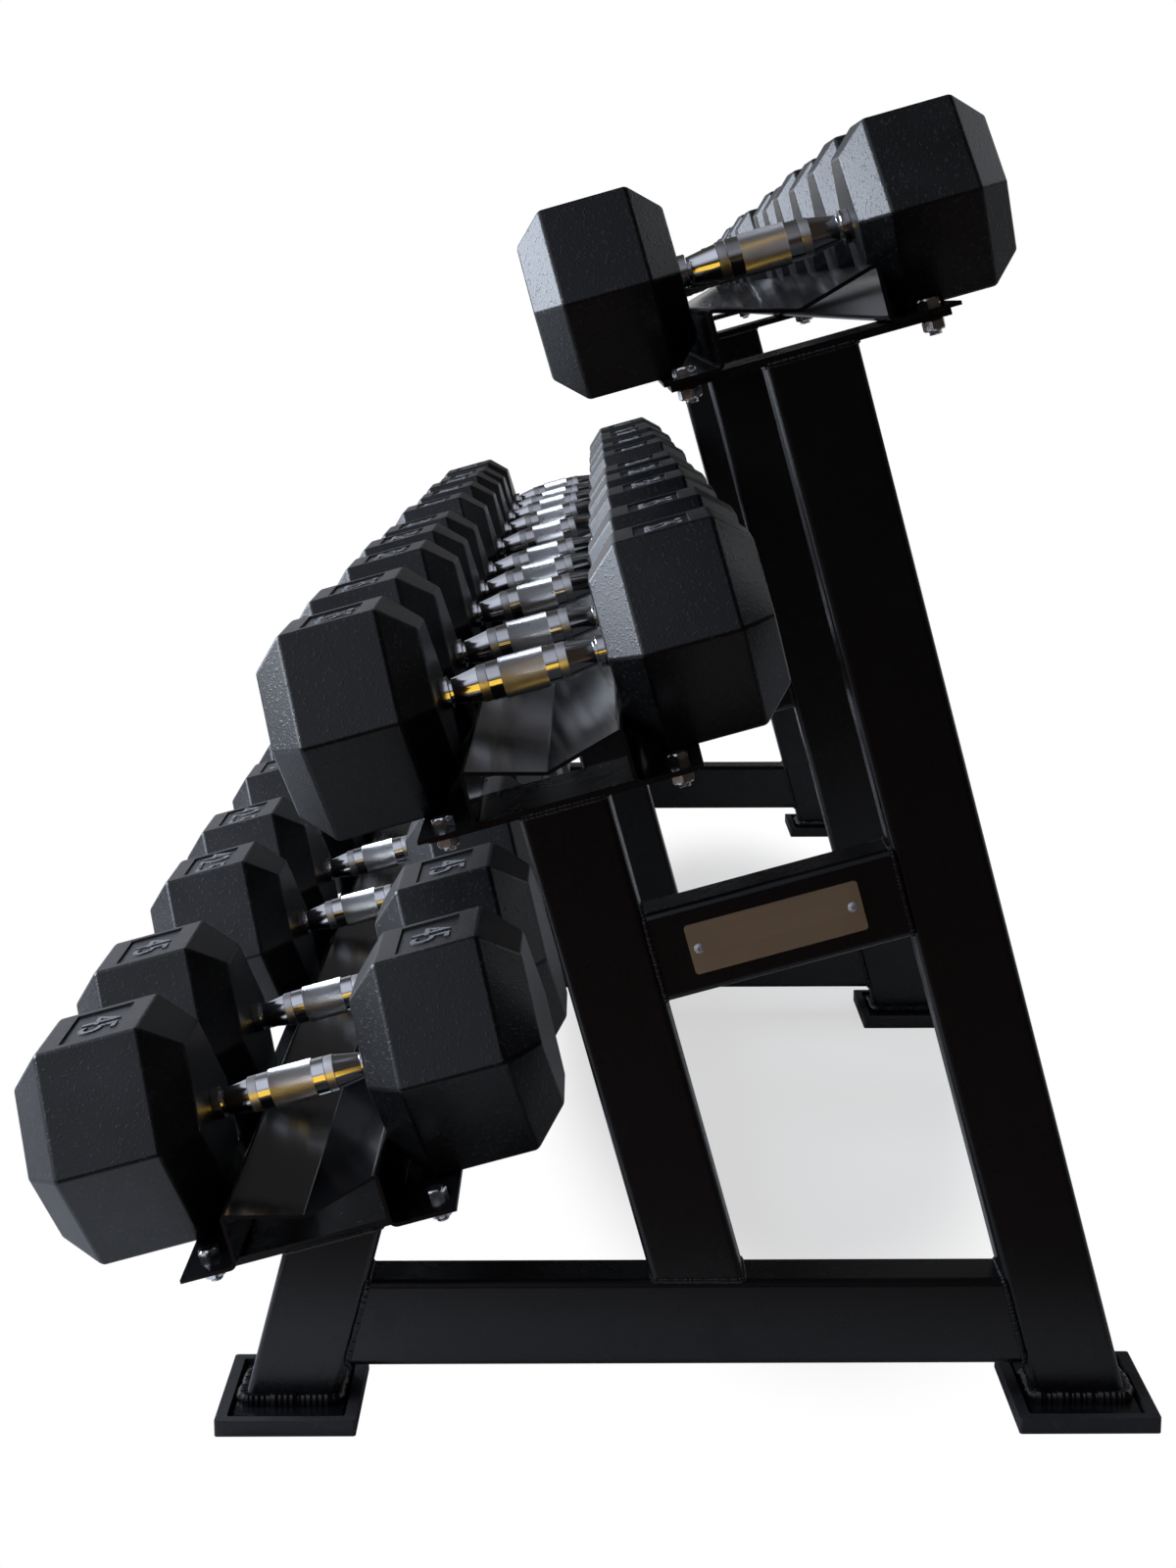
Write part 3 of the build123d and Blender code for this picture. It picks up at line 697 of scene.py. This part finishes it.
handle = turned_handle()
for pair in sorted({node.rsplit("_", 1)[0] for node in frame["nodes"] if node.startswith("dumbbell")}):
    low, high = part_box(pair + "_right")
    whole, tenth = pair.split("_")[1:3]
    weight = str(int(whole)) + ("" if tenth == "0" else "." + tenth)
    flats = (high.x - low.x) / 2 * sqrt(3)
    heads = bmesh.new()
    for way in (1, -1):
        pocket_floor, height = add_head(heads, flats, way)
        add_numerals(heads, weight, pocket_floor, height)
    for one in (pair + "_right", pair + "_left"):
        place = Matrix.Translation(middle_of(one)) @ tier_axes
        parts = ((heads, "_heads", HEAD_FINISHES), (handle, "_handle", HANDLE_FINISHES))
        for pattern, part, finishes in parts:
            shape = pattern.copy()
            bmesh.ops.transform(shape, matrix=place, verts=shape.verts)
            fit_piece(shape, one + part, finishes, one, [one])
    heads.free()
handle.free()

# Studio: a white floor and surround, a large cool window-like lamp ahead of the rack, a weak lamp behind it,
# and a dim room on the camera's side, brown towards the floor and a little lighter near the window.
# A small warm lamp under the near end lights the handles alone, for the gold in their chrome.
FLOOR_HALF = 30.0
FLOOR_WHITE = (0.9, 0.9, 0.9, 1)
FLOOR_DIM = (0.15, 0.10, 0.072, 1)
WHITE_END = (1.27, 1.50)
WHITE_SKEW = 0.10
GLOW_UNDER = 0.62
SHADE_CENTRE = (0.0, 0.22, 0.0)
SHADE_REACH = (1.65, 0.42)
SHADE_FADE = (0.45, 0.72)
WHITE = (1.0, 1.0, 1.0, 1)
FAR_REAR = (0.06, 0.058, 0.058, 1)
FAR_FRONT = (0.50, 0.53, 0.60, 1)
FAR_TURN = (0.0, 0.12)
FAR_RISE = 0.5
BACKDROP_TOP = (0.09, 0.01)
ROOM_DIM = (0.026, 0.020, 0.016, 1)
ROOM_FRONT = (0.64, 0.68, 0.80, 1)
ROOM_TURN = (-0.45, 0.30)
ROOM_FRONT_TURN = (0.25, -0.17)
ROOM_RISE = 0.35
ROOM_UP = (0.1, 0.55)
WINDOW_POWER = 215.0
WINDOW_SIZE = (3.6, 1.2)
WINDOW_COLOUR = (0.79, 0.87, 1.0)
WINDOW_PLACE = Vector((-0.1, -3.2, 1.72))
WINDOW_AIM = Vector((-0.1, 0.0, 1.72))
WARM_POWER = 6.0
WARM_SIZE = (1.1, 1.36)
WARM_COLOUR = (1.0, 0.62, 0.06)
WARM_PLACE = Vector((2.325, -0.55, 0.39))
WARM_AIM = Vector((1.794, -0.55, 1.238))
REAR_POWER = 15.0
REAR_SIZE = (3.0, 1.5)
REAR_COLOUR = (0.88, 0.93, 1.0)
REAR_PLACE = Vector((-0.3, 2.6, 2.65))
REAR_AIM = Vector((0.6, 0.2, 0.8))

ground = bmesh.new()
bmesh.ops.create_grid(ground, x_segments=1, y_segments=1, size=FLOOR_HALF)
floor_mesh = bpy.data.meshes.new("studio_floor")
ground.to_mesh(floor_mesh)
ground.free()
floor = bpy.data.objects.new("studio_floor", floor_mesh)
bpy.context.scene.collection.objects.link(floor)
floor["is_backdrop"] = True
floor_paint = bpy.data.materials.new("studio_floor")
floor_paint.use_nodes = True
floor_tree = floor_paint.node_tree
floor_tree.nodes.clear()
start = Socket(floor_tree)
place = start.node("ShaderNodeTexCoord", {}, {}, "Object")
to_camera = start.node("ShaderNodeLightPath", {}, {}, "Is Camera Ray")
along_rack = start.node("ShaderNodeSeparateXYZ", {}, {0: place}, "X")
across_rack = start.node("ShaderNodeSeparateXYZ", {}, {0: place}, "Y")
from_pool = along_rack + across_rack * WHITE_SKEW
shade_scale = (1 / SHADE_REACH[0], 1 / SHADE_REACH[1], 1)
from_rack = start.node("ShaderNodeVectorMath", {"operation": "SUBTRACT"}, {0: place, 1: SHADE_CENTRE})
from_rack = start.node("ShaderNodeVectorMath", {"operation": "MULTIPLY"}, {0: from_rack, 1: shade_scale})
from_rack = start.node("ShaderNodeVectorMath", {"operation": "LENGTH"}, {0: from_rack}, "Value")
open_floor = from_rack.between(*SHADE_FADE)
lit_part = (from_pool.between(*WHITE_END) * (1 - to_camera)).tint(FLOOR_WHITE, FLOOR_DIM)
matte = start.node("ShaderNodeBsdfDiffuse", {}, {"Color": lit_part})
glow = start.node("ShaderNodeEmission", {}, {"Color": WHITE, "Strength": 1.0})
glow_share = to_camera * (GLOW_UNDER + open_floor * (1 - GLOW_UNDER))
shown = start.node("ShaderNodeMixShader", {}, {0: glow_share, 1: matte, 2: glow})
floor_tree.links.new(shown.socket, floor_tree.nodes.new("ShaderNodeOutputMaterial").inputs["Surface"])
floor_mesh.materials.append(floor_paint)

world = bpy.data.worlds.new("studio_surround")
bpy.context.scene.world = world
world.use_nodes = True
sky = world.node_tree
sky.nodes.clear()
start = Socket(sky)
direction = start.node("ShaderNodeTexCoord", {}, {}, "Generated")
to_camera = start.node("ShaderNodeLightPath", {}, {}, "Is Camera Ray")
mirrored = start.node("ShaderNodeLightPath", {}, {}, "Is Glossy Ray")
to_end, to_rear, to_top = (start.node("ShaderNodeSeparateXYZ", {}, {0: direction}, axis) for axis in "XYZ")
room_side = to_end.between(*ROOM_TURN)
front_glow = (to_rear + to_top * ROOM_RISE).between(*ROOM_FRONT_TURN)
room_colour = (front_glow * to_top.between(*ROOM_UP)).tint(ROOM_DIM, ROOM_FRONT)
far_colour = (0 - to_rear - to_top * FAR_RISE).between(*FAR_TURN).tint(FAR_REAR, FAR_FRONT)
surround = room_side.tint(far_colour, room_colour)
room = start.node("ShaderNodeBackground", {}, {"Color": surround, "Strength": 1.0})
white = start.node("ShaderNodeBackground", {}, {"Color": WHITE, "Strength": 1.0})
backdrop = to_top.between(*BACKDROP_TOP)
white_share = to_camera + mirrored * backdrop * (1 - room_side)
shown = start.node("ShaderNodeMixShader", {}, {0: white_share, 1: room, 2: white})
sky.links.new(shown.socket, sky.nodes.new("ShaderNodeOutputWorld").inputs["Surface"])


def soft_lamp(name, power, size, colour, place, aim):
    lamp = bpy.data.lights.new(name, "AREA")
    lamp.energy = power
    lamp.shape = "RECTANGLE"
    lamp.size, lamp.size_y = size
    lamp.color = colour
    holder = bpy.data.objects.new(name, lamp)
    holder.location = place
    holder.rotation_euler = (aim - place).to_track_quat("-Z", "Y").to_euler()
    holder.visible_camera = False
    bpy.context.scene.collection.objects.link(holder)
    return holder


soft_lamp("window_lamp", WINDOW_POWER, WINDOW_SIZE, WINDOW_COLOUR, WINDOW_PLACE, WINDOW_AIM)
soft_lamp("rear_lamp", REAR_POWER, REAR_SIZE, REAR_COLOUR, REAR_PLACE, REAR_AIM)
chromed_handles = bpy.data.collections.new("chromed_handles")
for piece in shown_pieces():
    if piece.name.endswith("_handle"):
        chromed_handles.objects.link(piece)
warm = soft_lamp("warm_lamp", WARM_POWER, WARM_SIZE, WARM_COLOUR, WARM_PLACE, WARM_AIM)
warm.light_linking.receiver_collection = chromed_handles

# Camera: it stands beyond the right-hand end of the rack, a little under the top of the load,
# and looks down the rack's length through a short portrait lens.
CAMERA_PLACE = Vector((3.02066, 0.00925, 0.85504))
CAMERA_FORWARD = Vector((-0.982805, -0.000052, -0.184647))
CAMERA_RIGHT = Vector((0.000589, 0.999994, -0.003418))
CAMERA_LENS = 58.61
SENSOR_WIDTH = 36.0
CLIP_START = 0.05

lens = bpy.data.cameras.new("camera")
lens.lens = CAMERA_LENS
lens.sensor_width = SENSOR_WIDTH
lens.clip_start = CLIP_START
camera = bpy.data.objects.new("camera", lens)
camera_up = CAMERA_RIGHT.cross(CAMERA_FORWARD)
turn = Matrix((CAMERA_RIGHT, camera_up, -CAMERA_FORWARD)).transposed().to_4x4()
camera.matrix_world = Matrix.Translation(CAMERA_PLACE) @ turn
bpy.context.scene.collection.objects.link(camera)
bpy.context.scene.camera = camera
bpy.context.scene.view_settings.view_transform = "Standard"

low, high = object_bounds()
